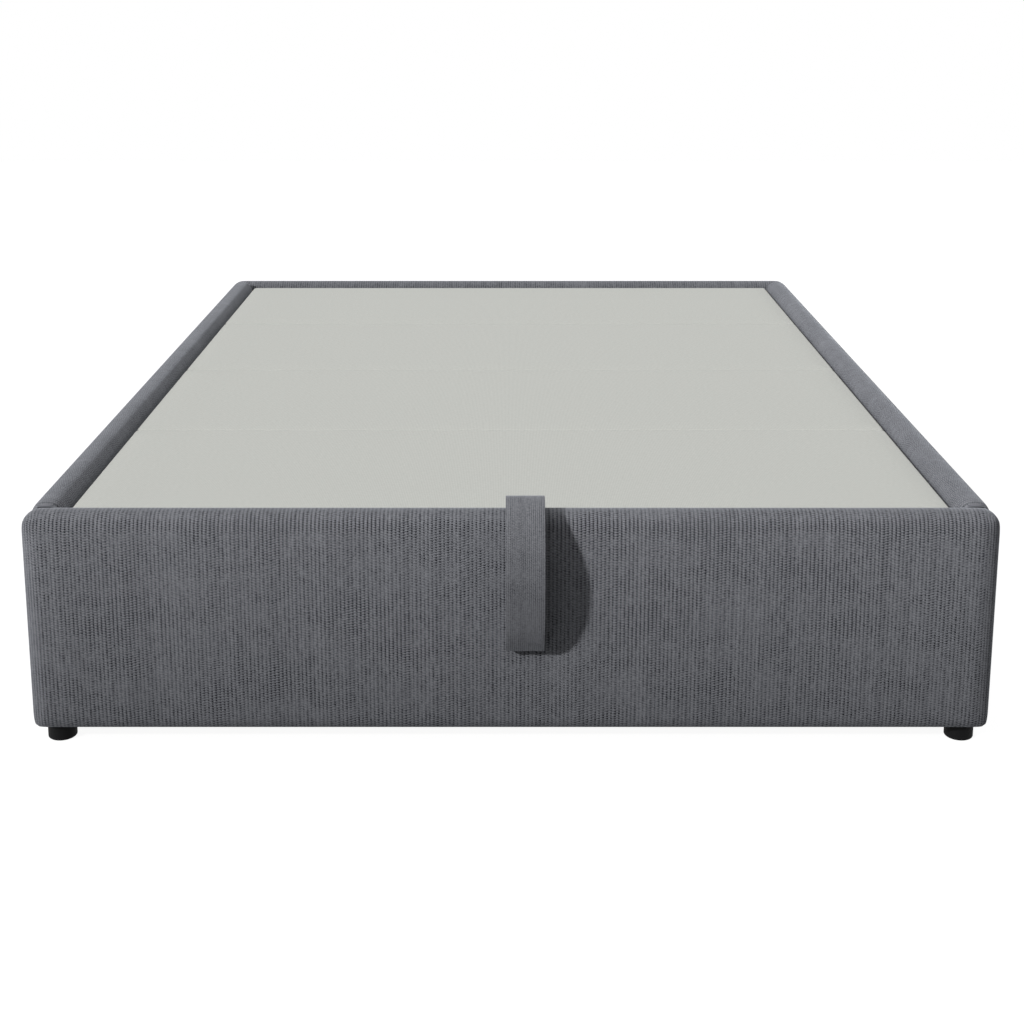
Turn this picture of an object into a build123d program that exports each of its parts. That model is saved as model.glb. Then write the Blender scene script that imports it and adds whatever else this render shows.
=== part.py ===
from build123d import *
import math
import os

# Storage bed with an upholstered rail all round and a padded platform that lifts at the foot.
# Millimetres. X is across the bed, Y runs from the foot to the head, Z is up.
# The origin is on the floor under the middle of the bed, at the middle centre foot.
os.makedirs("parts", exist_ok=True)

# Mattress the bed is made for, and the room left round the platform
mattress_width = 1530
mattress_length = 2030
side_gap = 5
foot_gap = 7
head_gap = 15

# Upholstered rails
rail_thickness = 65
rail_height = 394
head_rail_drop = 7
rail_top_radius = 30
foot_rail_end_radius = 36
head_rail_end_radius = 28
rail_corner_radius = 22
rail_inner_corner_radius = 6
rail_bottom_radius = 7
rail_butt_radius = 6
cover_thickness = 1.5
cover_hem_height = 256
board_thickness = 28
board_end_padding = 12
board_shoulder = 2
ground_clearance = 34

# Platform
deck_recess = 21
deck_thickness = 24
deck_board_thickness = 12
panel_count = 4
panel_gap = 1
panel_corner_radius = 8
panel_edge_radius = 5
panel_hem_width = 45
tube_size = 30
tube_wall = 2
tube_end_margin = 12
side_tube_inset = 53

# Side lane between a side tube and its ledger, where the hinge and the strut lie
lane_width = 32
lane_clearance = 2
running_clearance = 0.1
seat_clearance = 0.3

# Ledgers and rest bumpers
ledger_height = 40
ledger_foot_clearance = 6
ledger_head_clearance = 45
bumper_radius = 10
bumper_height = 6
bumper_shares = (-0.44, -0.06, 0.33)

# Hinge
hinge_setback = 70
hinge_bolt_radius = 6
hinge_boss_radius = 12
hinge_boss_length = 10.7
hinge_head_radius = 10
hinge_head_height = 7
hinge_plate_thickness = 6
hinge_plate_reach = 70
hinge_plate_tail = 20
bracket_sheet = 4
bracket_nose_radius = 13
bracket_depth = 49
bracket_back_drop = 15
bracket_half_length = 30

# Gas struts, placed from the hinge axis
strut_lower_forward = 0
strut_lower_drop = 170
strut_upper_forward = 400
strut_upper_drop = 20
strut_play_forward = 1.6
strut_play_up = 3
strut_stud_radius = 4
strut_upper_bore_radius = 8.2
strut_eye_radius = 14
strut_eye_thickness = 12
strut_rod_radius = 5
strut_tube_radius = 11
strut_tube_wall = 2
strut_end_wall = 4
strut_gland_start = 155
strut_gland_length = 14
strut_neck_radius = 4.5
strut_neck_length = 12
strut_piston_length = 12
strut_plate_size = 60
strut_post_radius = 11
strut_hanger_length = 50
strut_flange_thickness = 2
strut_nut_radius = 7.5
strut_nut_height = 6

# Lift strap: a loop of doubled webbing that bows out in front of the foot rail
strap_width = 66
strap_offset = 24.5
strap_thickness = 2.4
strap_clearance = 0.8
strap_rise = 22
strap_drop = 237
strap_reach = 67
strap_tail = 26
strap_turn_radius = 10
strap_fold_radius = 12
strap_fold_sweep = 140
strap_fold_return = 20
strap_free_rise = 8
strap_leg_share = 0.60
strap_leg_reach = 15
strap_bow_shares = (
    (0.39, -0.03),
    (0.80, 0.135),
    (1.0, 0.375),
    (0.85, 0.70),
    (0.597, 0.882),
)
clamp_thickness = 3
clamp_margin = 14

# Storage box inside the base
beam_width = 70
beam_height = 26
batten_width = 20
batten_height = 20
batten_end_clearance = 6
floor_thickness = 9
floor_count = 2
floor_gap = 2
floor_edge_clearance = 1

# Steel angles that join the boards and hold the beam
corner_leg = 45
corner_height = 150
corner_base_height = 76
corner_bolt_setback = 28
corner_bolt_margin = 35
beam_angle_leg = 30
beam_angle_margin = 2

# Feet
foot_radius = 25
foot_edge_radius = 3
foot_side_inset = 44
foot_end_inset = 55
foot_stud_radius = 4
foot_stud_length = 20
centre_foot_pitch = 660

# Fasteners
bolt_radius = 4
bolt_length = 22
bolt_head_radius = 6.5
bolt_head_height = 5
screw_radius = 2.5
screw_head_radius = 4.5
screw_head_height = 3
ledger_screw_length = 45
deck_screw_length = 18
clamp_screw_length = 14
ledger_screw_shares = (-0.4, -0.2, 0.0, 0.2, 0.36)
deck_screw_shares = (-0.3, 0.3)

# Levels and edges that follow from the sizes above
half_width = mattress_width / 2 + side_gap + rail_thickness
half_length = (mattress_length + foot_gap + head_gap) / 2 + rail_thickness
inner_half_width = half_width - rail_thickness
inner_half_length = half_length - rail_thickness
board_face_x = inner_half_width + cover_thickness
board_face_y = inner_half_length + cover_thickness
deck_half_width = mattress_width / 2
deck_front = foot_gap - inner_half_length
deck_rear = deck_front + mattress_length
rail_bottom = ground_clearance
rail_top = rail_bottom + rail_height
deck_top = rail_top - deck_recess
deck_bottom = deck_top - deck_thickness
tube_bottom = deck_bottom - tube_size
beam_top = rail_bottom + beam_height
beyond = 2 * half_length

# The side lane, outwards from the side tube, and the hinge axis behind it
side_tube_outer = deck_half_width - side_tube_inset
ledger_inner = side_tube_outer + lane_width
lane_middle = side_tube_outer + lane_width / 2
hinge_y = deck_rear - hinge_setback
hinge_z = tube_bottom + tube_size / 2

RIGHT = (1, 0, 0)
LEFT = (-1, 0, 0)
UP = (0, 0, 1)
DOWN = (0, 0, -1)


def block(x_range, y_range, z_range, mode=Mode.ADD):
    """Adds or cuts a square-edged block that lies between the given limits."""
    ranges = (x_range, y_range, z_range)
    with Locations(tuple((low + high) / 2 for low, high in ranges)):
        Box(*(high - low for low, high in ranges), mode=mode)


def narrowed(limits, inset):
    """The limits with the same inset taken off both ends."""
    low, high = limits
    return (low + inset, high - inset)


def about(middle, reach):
    """Limits that reach the same way to each side of a middle."""
    return (middle - reach, middle + reach)


def mirrored(limits):
    """The same limits on the other side of zero."""
    low, high = limits
    return (-high, -low)


def save(piece, name):
    """Names the finished piece and writes its file."""
    piece.part.label = name
    export_step(piece.part, f"parts/{name}.step")


def save_pair(piece, name):
    """Writes a right-hand piece and its left-hand twin."""
    save(piece, f"right_{name}")
    with BuildPart() as twin:
        mirror(piece.part, about=Plane.YZ)
    save(twin, f"left_{name}")


# Fasteners enter at a plane that looks along the way they are driven
def facing(point, direction):
    """A plane at the point that looks along the direction."""
    return Plane(origin=point, z_dir=direction)


def side_places(x, ys, z):
    """Places on both sides of the bed, looking outwards along X."""
    return [facing((side * x, y, z), (side, 0, 0)) for side in (-1, 1) for y in ys]


def end_places(xs, y, z):
    """Places at both ends of the bed, looking outwards along Y."""
    return [facing((x, end * y, z), (0, end, 0)) for end in (-1, 1) for x in xs]


def rod(place, radius, length):
    """Adds a round rod from a plane along its direction."""
    with BuildSketch(place) as outline:
        Circle(radius)
    extrude(outline.sketch, amount=length)


def bore(place, radius, length):
    """Cuts a round hole from a plane along its direction."""
    with BuildSketch(place) as outline:
        Circle(radius)
    extrude(outline.sketch, amount=length, mode=Mode.SUBTRACT)


def add_bolts(places):
    """Adds hexagon bolts whose heads stand proud of the places they enter."""
    for place in places:
        rod(place, bolt_radius, bolt_length)
        with BuildSketch(place) as head:
            RegularPolygon(bolt_head_radius, 6)
        extrude(head.sketch, amount=-bolt_head_height)


def add_screws(places, length):
    """Adds screws whose heads lie flush with the places they enter."""
    for place in places:
        rod(place, screw_radius, length)
        rod(place, screw_head_radius, screw_head_height)


def bolt_holes(places):
    """Cuts the clearance holes of bolts."""
    for place in places:
        bore(place, bolt_radius + running_clearance, bolt_length + running_clearance)


def screw_holes(places, length):
    """Cuts the clearance holes of flush screws."""
    for place in places:
        bore(place, screw_radius + running_clearance, length + running_clearance)


def screw_recesses(places):
    """Cuts the recesses of flush screw heads."""
    for place in places:
        bore(place, screw_head_radius + running_clearance, screw_head_height)


def stud_hole(x, y):
    """Cuts the hole that a foot's stud screws into."""
    place = facing((x, y, rail_bottom), UP)
    bore(place, foot_stud_radius + running_clearance, foot_stud_length + running_clearance)


# Places of the bolts and screws in the base
corner_low = rail_bottom + corner_base_height
corner_levels = (corner_low + corner_bolt_margin, corner_low + corner_height - corner_bolt_margin)
corner_bolt_x = board_face_x - corner_bolt_setback
corner_bolt_y = board_face_y - corner_bolt_setback
bracket_bolt_level = hinge_z - (bracket_depth - bracket_sheet + bracket_back_drop) / 2
bracket_bolt_spread = bracket_half_length - bolt_head_radius - bracket_sheet
strut_lower_y = hinge_y - strut_lower_forward
strut_lower_z = hinge_z - strut_lower_drop
strut_bolt_spread = strut_plate_size / 2 - bolt_head_radius - bracket_sheet / 2
strut_bolt_level = strut_lower_z - strut_plate_size / 2 + bolt_head_radius + bracket_sheet / 2
ledger_top = deck_bottom - seat_clearance - bumper_height
ledger_level = ledger_top - ledger_height / 2
beam_level = rail_bottom + beam_height / 2
beam_bolt_x = beam_width / 2 + bracket_sheet + beam_angle_leg / 2
beam_bolt_y = board_face_y - bracket_sheet - beam_angle_leg / 2

hinge_bolt_ys = about(hinge_y, bracket_bolt_spread)
strut_bolt_ys = about(strut_lower_y, strut_bolt_spread)
bolt_entry_x = board_face_x - bracket_sheet
bolt_entry_y = board_face_y - bracket_sheet
side_bolts = (
    side_places(inner_half_width - bracket_sheet, hinge_bolt_ys, bracket_bolt_level)
    + side_places(bolt_entry_x, strut_bolt_ys, strut_bolt_level)
)
end_bolts = end_places(about(0, beam_bolt_x), bolt_entry_y, beam_level)
for corner_level in corner_levels:
    side_bolts += side_places(bolt_entry_x, about(0, corner_bolt_y), corner_level)
    end_bolts += end_places(about(0, corner_bolt_x), bolt_entry_y, corner_level)
beam_bolts = [
    facing((side * (beam_width / 2 + bracket_sheet), end * beam_bolt_y, beam_level), (-side, 0, 0))
    for side in (-1, 1)
    for end in (-1, 1)
]
ledger_screw_ys = [share * mattress_length for share in ledger_screw_shares]
ledger_screws = side_places(ledger_inner, ledger_screw_ys, ledger_level)

foot_x = half_width - foot_side_inset
foot_y = half_length - foot_end_inset


# Rails: an inner board, a pad that rounds the outside and the top, and a fabric cover
def rounded_rectangle(x_range, y_range, low_radius, high_radius):
    """Fills the open sketch with a rectangle whose low and high corners have their own radii."""
    with Locations(((x_range[0] + x_range[1]) / 2, (y_range[0] + y_range[1]) / 2)):
        Rectangle(x_range[1] - x_range[0], y_range[1] - y_range[0])
    fillet(vertices().sort_by(Axis.Y)[:2], low_radius)
    fillet(vertices().sort_by(Axis.Y)[-2:], high_radius)


def rail_form(limits, radii, inset=0):
    """A soft-edged rail: its outlines from the front, the side and above, intersected."""
    x_range, y_range, z_range = (narrowed(pair, inset) for pair in limits)
    front_top, side_top, bottom, plan_low, plan_high = (radius - inset for radius in radii)
    with BuildPart() as form:
        with BuildSketch(Plane.XZ):
            rounded_rectangle(x_range, z_range, bottom, front_top)
        extrude(amount=beyond, both=True)
        with BuildSketch(Plane.YZ):
            rounded_rectangle(y_range, z_range, bottom, side_top)
        extrude(amount=beyond, both=True, mode=Mode.INTERSECT)
        with BuildSketch(Plane.XY):
            rounded_rectangle(x_range, y_range, plan_low, plan_high)
        extrude(amount=beyond, both=True, mode=Mode.INTERSECT)
    return form.part


def write_rail(name, limits, radii, board_limits, window_limits, cut_holes):
    """Writes the board, padding and cover of one rail."""
    with BuildPart() as board:
        block(*board_limits)
        add(rail_form(limits, radii, cover_thickness), mode=Mode.INTERSECT)
        cut_holes()
    with BuildPart() as padding:
        add(rail_form(limits, radii, cover_thickness))
        block(*board_limits, mode=Mode.SUBTRACT)
        cut_holes()
    with BuildPart() as cover:
        add(rail_form(limits, radii))
        add(rail_form(limits, radii, cover_thickness), mode=Mode.SUBTRACT)
        block(*window_limits, mode=Mode.SUBTRACT)
        cut_holes()
    save(board, f"{name}_board")
    save(padding, f"{name}_padding")
    save(cover, f"{name}_cover")


def cross_rail(name, end, top, end_radius):
    """The foot rail lies at end -1 and the head rail at end 1, both as wide as the bed."""
    rail_y = (inner_half_length, half_length)
    board_y = (board_face_y, board_face_y + board_thickness)
    window_y = (inner_half_length, board_face_y)
    plan_radii = (rail_inner_corner_radius, rail_corner_radius)
    if end < 0:
        rail_y, board_y, window_y = mirrored(rail_y), mirrored(board_y), mirrored(window_y)
        plan_radii = (rail_corner_radius, rail_inner_corner_radius)
    board_x = about(0, half_width - cover_thickness - board_end_padding)
    board_z = (rail_bottom + cover_thickness, top - rail_top_radius - board_shoulder)
    window_z = (rail_bottom + cover_thickness, rail_bottom + cover_hem_height)

    def cut_holes():
        bolt_holes([place for place in end_bolts if place.z_dir.Y == end])
        for x in about(0, foot_x):
            stud_hole(x, end * foot_y)

    write_rail(
        name,
        (about(0, half_width), rail_y, (rail_bottom, top)),
        (end_radius, rail_top_radius, rail_bottom_radius, *plan_radii),
        (board_x, board_y, board_z),
        (about(0, board_face_x), window_y, window_z),
        cut_holes,
    )


def side_rail(name, side):
    """The left rail lies at side -1 and the right rail at side 1, between the cross rails."""
    rail_x = (inner_half_width, half_width)
    board_x = (board_face_x, board_face_x + board_thickness)
    window_x = (inner_half_width, board_face_x)
    if side < 0:
        rail_x, board_x, window_x = mirrored(rail_x), mirrored(board_x), mirrored(window_x)
    board_y = about(0, inner_half_length - cover_thickness - rail_butt_radius)
    board_z = (rail_bottom + cover_thickness, rail_top - rail_top_radius - board_shoulder)
    window_z = (rail_bottom + cover_thickness, rail_bottom + cover_hem_height)

    def cut_holes():
        bolt_holes([place for place in side_bolts if place.z_dir.X == side])
        own_screws = [place for place in ledger_screws if place.z_dir.X == side]
        screw_holes(own_screws, ledger_screw_length)

    write_rail(
        name,
        (rail_x, about(0, inner_half_length), (rail_bottom, rail_top)),
        (rail_top_radius, rail_butt_radius, rail_bottom_radius, rail_butt_radius, rail_butt_radius),
        (board_x, board_y, board_z),
        (window_x, about(0, inner_half_length), window_z),
        cut_holes,
    )


cross_rail("foot_rail", -1, rail_top, foot_rail_end_radius)
cross_rail("head_rail", 1, rail_top - head_rail_drop, head_rail_end_radius)
side_rail("left_rail", -1)
side_rail("right_rail", 1)


# Steel angles in the corners and at the ends of the beam
with BuildPart() as corner_brackets:
    for side in (-1, 1):
        for end in (-1, 1):
            leg_x = sorted((side * (board_face_x - corner_leg), side * board_face_x))
            leg_y = sorted((end * (board_face_y - corner_leg), end * board_face_y))
            sheet_x = sorted((side * bolt_entry_x, side * board_face_x))
            sheet_y = sorted((end * bolt_entry_y, end * board_face_y))
            block(sheet_x, leg_y, (corner_low, corner_low + corner_height))
            block(leg_x, sheet_y, (corner_low, corner_low + corner_height))
    bolt_holes(side_bolts + end_bolts)
save(corner_brackets, "corner_brackets")

with BuildPart() as beam_brackets:
    angle_z = narrowed((rail_bottom, beam_top), beam_angle_margin)
    beam_side = beam_width / 2
    for side in (-1, 1):
        for end in (-1, 1):
            leg_x = sorted((side * beam_side, side * (beam_side + bracket_sheet + beam_angle_leg)))
            leg_y = sorted((end * (bolt_entry_y - beam_angle_leg), end * board_face_y))
            sheet_x = sorted((side * beam_side, side * (beam_side + bracket_sheet)))
            sheet_y = sorted((end * bolt_entry_y, end * board_face_y))
            block(sheet_x, leg_y, angle_z)
            block(leg_x, sheet_y, angle_z)
    bolt_holes(beam_bolts + end_bolts)
save(beam_brackets, "beam_brackets")


# Storage box: centre beam, side battens and floor boards
centre_foot_ys = (-centre_foot_pitch, 0, centre_foot_pitch)

with BuildPart() as centre_beam:
    block(about(0, beam_width / 2), about(0, board_face_y), (rail_bottom, beam_top))
    for foot_place_y in centre_foot_ys:
        stud_hole(0, foot_place_y)
    bolt_holes(beam_bolts)
save(centre_beam, "centre_beam")

with BuildPart() as floor_battens:
    batten_x = (board_face_x - batten_width, board_face_x)
    for limits_x in (batten_x, mirrored(batten_x)):
        block(
            limits_x,
            about(0, inner_half_length - batten_end_clearance),
            (beam_top - batten_height, beam_top),
        )
save(floor_battens, "floor_battens")

floor_half_length = board_face_y - floor_edge_clearance
floor_pitch = (2 * floor_half_length + floor_gap) / floor_count
for floor_index in range(floor_count):
    floor_start = floor_index * floor_pitch - floor_half_length
    with BuildPart() as storage_floor:
        block(
            about(0, board_face_x - floor_edge_clearance),
            (floor_start, floor_start + floor_pitch - floor_gap),
            (beam_top, beam_top + floor_thickness),
        )
    save(storage_floor, f"storage_floor_{floor_index + 1}")


# Feet: round blocks moulded on a threaded stud
def write_foot(name, x, y):
    """Writes one foot that stands on the floor."""
    with BuildPart() as piece:
        rod(facing((x, y, 0), UP), foot_radius, ground_clearance)
        fillet(edges().group_by(Axis.Z)[0], foot_edge_radius)
        rod(facing((x, y, ground_clearance), UP), foot_stud_radius, foot_stud_length)
    save(piece, name)


for end_name, end in (("foot", -1), ("head", 1)):
    for side_name, side in (("left", -1), ("right", 1)):
        write_foot(f"{side_name}_{end_name}_end_foot", side * foot_x, end * foot_y)
for foot_name, foot_place_y in zip(("front", "middle", "rear"), centre_foot_ys):
    write_foot(f"centre_{foot_name}_foot", 0, foot_place_y)


# Ledgers that the platform rests on, and their rubber bumpers
with BuildPart() as ledger:
    block(
        (ledger_inner, inner_half_width),
        (ledger_foot_clearance - inner_half_length, hinge_y - ledger_head_clearance),
        (ledger_top - ledger_height, ledger_top),
    )
    right_ledger_screws = [place for place in ledger_screws if place.z_dir.X > 0]
    screw_holes(right_ledger_screws, ledger_screw_length)
    screw_recesses(right_ledger_screws)
save_pair(ledger, "ledger")

with BuildPart() as rest_bumpers:
    for bumper_x in about(0, (ledger_inner + inner_half_width) / 2):
        for share in bumper_shares:
            bumper_place = facing((bumper_x, share * mattress_length, ledger_top), UP)
            rod(bumper_place, bumper_radius, bumper_height)
save(rest_bumpers, "rest_bumpers")


# Hinge: a folded bracket on the side rail, a bolt, and a plate on the platform's side tube
hinge_plate_outer = side_tube_outer + hinge_plate_thickness
bracket_nose_x = hinge_plate_outer + seat_clearance + hinge_boss_length
hinge_plane = facing((side_tube_outer, hinge_y, hinge_z), RIGHT)

with BuildPart() as hinge_bracket:
    base_z = hinge_z - bracket_depth
    back_x = (inner_half_width - bracket_sheet, inner_half_width)
    bracket_y = about(hinge_y, bracket_half_length)
    block(back_x, bracket_y, (base_z, hinge_z - bracket_back_drop))
    block((bracket_nose_x, inner_half_width), bracket_y, (base_z, base_z + bracket_sheet))
    with BuildSketch(Plane.YZ.offset(bracket_nose_x)):
        with Locations((hinge_y, hinge_z)):
            Circle(bracket_nose_radius)
        with Locations((hinge_y, base_z + bracket_sheet / 2)):
            Rectangle(2 * bracket_half_length, bracket_sheet)
        make_hull()
    extrude(amount=bracket_sheet)
    boss_start = hinge_plate_thickness + seat_clearance
    rod(hinge_plane.offset(boss_start), hinge_boss_radius, hinge_boss_length)
    bore(hinge_plane, hinge_bolt_radius + running_clearance, lane_width)
    bolt_holes(side_bolts)
save_pair(hinge_bracket, "hinge_bracket")

with BuildPart() as hinge_bolt:
    bolt_start = hinge_plane.offset(-tube_size - seat_clearance)
    nut_start = hinge_plane.offset(bracket_nose_x + bracket_sheet - side_tube_outer)
    rod(bolt_start, hinge_bolt_radius, tube_size + seat_clearance + lane_width - lane_clearance)
    with BuildSketch(bolt_start):
        RegularPolygon(hinge_head_radius, 6)
    extrude(amount=-hinge_head_height)
    with BuildSketch(nut_start):
        RegularPolygon(hinge_head_radius, 6)
        Circle(hinge_bolt_radius + running_clearance, mode=Mode.SUBTRACT)
    extrude(amount=hinge_head_height)
save_pair(hinge_bolt, "hinge_bolt")

with BuildPart() as hinge_plate:
    block(
        (side_tube_outer, hinge_plate_outer),
        (hinge_y - hinge_plate_reach, hinge_y + hinge_plate_tail),
        (tube_bottom, deck_bottom),
    )
    fillet(edges().filter_by(Axis.X), panel_edge_radius)
    bore(hinge_plane, hinge_bolt_radius + running_clearance, hinge_plate_thickness)
save_pair(hinge_plate, "hinge_plate")


# Gas struts, built along the line from the lower stud to the upper eye
strut_upper_y = hinge_y - strut_upper_forward
strut_upper_z = hinge_z - strut_upper_drop
eye_rise = strut_upper_z + strut_play_up - strut_lower_z
eye_run = strut_upper_y - strut_play_forward - strut_lower_y
strut_length = math.hypot(eye_run, eye_rise)
strut_line = facing((lane_middle, strut_lower_y, strut_lower_z), (0, eye_run, eye_rise))
eye_inner = lane_middle - strut_eye_thickness / 2
eye_outer = lane_middle + strut_eye_thickness / 2
tube_end = strut_length - strut_eye_radius - strut_neck_length
tube_bore_radius = strut_tube_radius - strut_tube_wall
rod_tip = tube_end - strut_end_wall - strut_flange_thickness


def strut_eye(y, z, hole_radius):
    """Adds the flat ring at one end of a strut."""
    with BuildSketch(facing((eye_inner, y, z), RIGHT)) as ring:
        Circle(strut_eye_radius)
        Circle(hole_radius, mode=Mode.SUBTRACT)
    extrude(ring.sketch, amount=strut_eye_thickness)


with BuildPart() as strut_rod:
    ring_middle = (strut_eye_radius + strut_stud_radius) / 2
    rod(strut_line.offset(ring_middle), strut_rod_radius, rod_tip - ring_middle)
    piston_plane = strut_line.offset(rod_tip - strut_piston_length)
    rod(piston_plane, tube_bore_radius - running_clearance, strut_piston_length)
    strut_eye(strut_lower_y, strut_lower_z, strut_stud_radius + running_clearance)
save_pair(strut_rod, "strut_rod")

with BuildPart() as strut_cylinder:
    rod(strut_line.offset(strut_gland_start), strut_tube_radius, tube_end - strut_gland_start)
    chamber_start = strut_gland_start + strut_gland_length
    chamber = tube_end - strut_end_wall - chamber_start
    bore(strut_line.offset(chamber_start), tube_bore_radius, chamber)
    gland_radius = strut_rod_radius + running_clearance
    bore(strut_line.offset(strut_gland_start), gland_radius, strut_gland_length)
    neck_overlap = (strut_eye_radius - strut_upper_bore_radius) / 2
    rod(strut_line.offset(tube_end), strut_neck_radius, strut_neck_length + neck_overlap)
    eye_y = strut_lower_y + eye_run
    eye_z = strut_lower_z + eye_rise
    strut_eye(eye_y, eye_z, strut_upper_bore_radius)
save_pair(strut_cylinder, "strut_cylinder")


# The struts' studs: a post on the side rail and a hanger on the side tube
nut_reach = strut_flange_thickness + strut_nut_height + running_clearance
stud_reach = strut_eye_thickness + 2 * seat_clearance + nut_reach

with BuildPart() as strut_post:
    block(
        (board_face_x - bracket_sheet, board_face_x),
        about(strut_lower_y, strut_plate_size / 2),
        about(strut_lower_z, strut_plate_size / 2),
    )
    post_plane = facing((board_face_x - bracket_sheet, strut_lower_y, strut_lower_z), LEFT)
    post_length = board_face_x - bracket_sheet - eye_outer - seat_clearance
    rod(post_plane, strut_post_radius, post_length)
    rod(post_plane.offset(post_length), strut_stud_radius, stud_reach)
    bolt_holes(side_bolts)
save_pair(strut_post, "strut_post")

with BuildPart() as strut_hanger:
    block(
        (side_tube_outer, side_tube_outer + bracket_sheet),
        about(strut_upper_y, strut_hanger_length / 2),
        (strut_upper_z - strut_eye_radius, deck_bottom),
    )
    fillet(edges().filter_by(Axis.X), panel_edge_radius)
    hanger_plane = facing((side_tube_outer + bracket_sheet, strut_upper_y, strut_upper_z), RIGHT)
    shoulder_length = eye_inner - seat_clearance - side_tube_outer - bracket_sheet
    rod(hanger_plane, strut_eye_radius, shoulder_length)
    rod(hanger_plane.offset(shoulder_length), strut_stud_radius, stud_reach)
save_pair(strut_hanger, "strut_hanger")


def strut_nut(place):
    """Adds a flanged nut that hides the eye it keeps on its stud."""
    with BuildSketch(place) as flange:
        Circle(strut_eye_radius)
        Circle(strut_stud_radius + running_clearance, mode=Mode.SUBTRACT)
    extrude(flange.sketch, amount=strut_flange_thickness)
    with BuildSketch(place.offset(strut_flange_thickness)) as nut:
        RegularPolygon(strut_nut_radius, 6)
        Circle(strut_stud_radius + running_clearance, mode=Mode.SUBTRACT)
    extrude(nut.sketch, amount=strut_nut_height)


# Every bolt, screw and nut that stays with the base
with BuildPart() as base_fasteners:
    add_bolts(side_bolts + end_bolts + beam_bolts)
    add_screws(ledger_screws, ledger_screw_length)
    for side in (-1, 1):
        nut_point = (side * (eye_inner - seat_clearance), strut_lower_y, strut_lower_z)
        strut_nut(facing(nut_point, (-side, 0, 0)))
save(base_fasteners, "base_fasteners")


# Platform frame: two side tubes, a cross tube under each seam and end, and a spine
frame_front = deck_front + tube_end_margin
frame_rear = deck_rear - tube_end_margin
panel_pitch = mattress_length / panel_count
tube_z = (tube_bottom, deck_bottom)
side_tube_inner = side_tube_outer - tube_size
cross_tube_ys = [
    frame_front + tube_size / 2,
    *(deck_front + index * panel_pitch for index in range(1, panel_count)),
    frame_rear - tube_size / 2,
]
panel_middles = [deck_front + (index + 1 / 2) * panel_pitch for index in range(panel_count)]
deck_board_top = deck_bottom + cover_thickness + deck_board_thickness
deck_screw_ys = [
    middle + share * panel_pitch for middle in panel_middles for share in deck_screw_shares
]
side_tube_middle = (side_tube_inner + side_tube_outer) / 2
deck_screws = [
    facing((x, y, deck_board_top), DOWN)
    for x in (-side_tube_middle, 0, side_tube_middle)
    for y in deck_screw_ys
]

with BuildPart() as side_tube:
    block((side_tube_inner, side_tube_outer), (frame_front, frame_rear), tube_z)
    block(
        narrowed((side_tube_inner, side_tube_outer), tube_wall),
        about(0, beyond),
        narrowed(tube_z, tube_wall),
        mode=Mode.SUBTRACT,
    )
    bore(hinge_plane.offset(-tube_size), hinge_bolt_radius + running_clearance, tube_size)
    screw_holes(deck_screws, deck_screw_length)
save_pair(side_tube, "side_tube")

# Lift strap: layers side by side in the gap, under the front tube and over the foot rail
strap_pitch = foot_gap - strap_thickness - 2 * strap_clearance
outer_layer_y = deck_front - strap_clearance - strap_thickness / 2
inner_layer_y = outer_layer_y - strap_pitch
outer_layer_z = tube_bottom - seat_clearance - strap_thickness / 2
inner_layer_z = outer_layer_z - strap_pitch
clamp_top = inner_layer_z - strap_thickness / 2 - seat_clearance
clamp_bottom = clamp_top - clamp_thickness
clamp_half_width = strap_width / 2 + clamp_margin
clamp_screws = [
    facing((x, cross_tube_ys[0], clamp_bottom), UP)
    for x in about(strap_offset, strap_width / 2 + clamp_margin / 2)
]

for tube_index, tube_y in enumerate(cross_tube_ys):
    with BuildPart() as cross_tube:
        tube_y_range = about(tube_y, tube_size / 2)
        block(about(0, side_tube_inner), tube_y_range, tube_z)
        block(
            about(0, beyond),
            narrowed(tube_y_range, tube_wall),
            narrowed(tube_z, tube_wall),
            mode=Mode.SUBTRACT,
        )
        screw_holes(clamp_screws, clamp_screw_length)
    save(cross_tube, f"cross_tube_{tube_index + 1}")

with BuildPart() as spine_tubes:
    for front_y, rear_y in zip(cross_tube_ys, cross_tube_ys[1:]):
        spine_y_range = narrowed((front_y, rear_y), tube_size / 2)
        block(about(0, tube_size / 2), spine_y_range, tube_z)
        block(
            narrowed(about(0, tube_size / 2), tube_wall),
            spine_y_range,
            narrowed(tube_z, tube_wall),
            mode=Mode.SUBTRACT,
        )
    screw_holes(deck_screws, deck_screw_length)
save(spine_tubes, "spine_tubes")


# Deck: boards, thin padding and one wrapped cover for each panel
def panel_form(middle_y, inset=0):
    """One panel with rounded corners and softened edges, shrunk by the inset."""
    half_depth = (panel_pitch - panel_gap) / 2 - inset
    with BuildPart() as form:
        block(
            about(0, deck_half_width - inset),
            about(middle_y, half_depth),
            narrowed((deck_bottom, deck_top), inset),
        )
        fillet(edges().filter_by(Axis.Z), panel_corner_radius - inset)
        fillet(faces().sort_by(Axis.Z)[-1].edges(), panel_edge_radius - inset)
    return form.part


panel_x = about(0, deck_half_width)
for panel_index, middle_y in enumerate(panel_middles):
    with BuildPart() as deck_cover:
        add(panel_form(middle_y))
        add(panel_form(middle_y, cover_thickness), mode=Mode.SUBTRACT)
        block(
            narrowed(panel_x, panel_hem_width),
            about(middle_y, panel_pitch / 2 - panel_hem_width),
            (deck_bottom - cover_thickness, deck_bottom + cover_thickness),
            mode=Mode.SUBTRACT,
        )
    save(deck_cover, f"deck_cover_{panel_index + 1}")

board_level = (deck_bottom, deck_board_top)
with BuildPart() as deck_boards:
    for middle_y in panel_middles:
        add(panel_form(middle_y, cover_thickness))
    block(about(0, beyond), about(0, beyond), board_level, mode=Mode.INTERSECT)
    screw_holes(deck_screws, deck_screw_length)
    screw_recesses(deck_screws)
save(deck_boards, "deck_boards")

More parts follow.
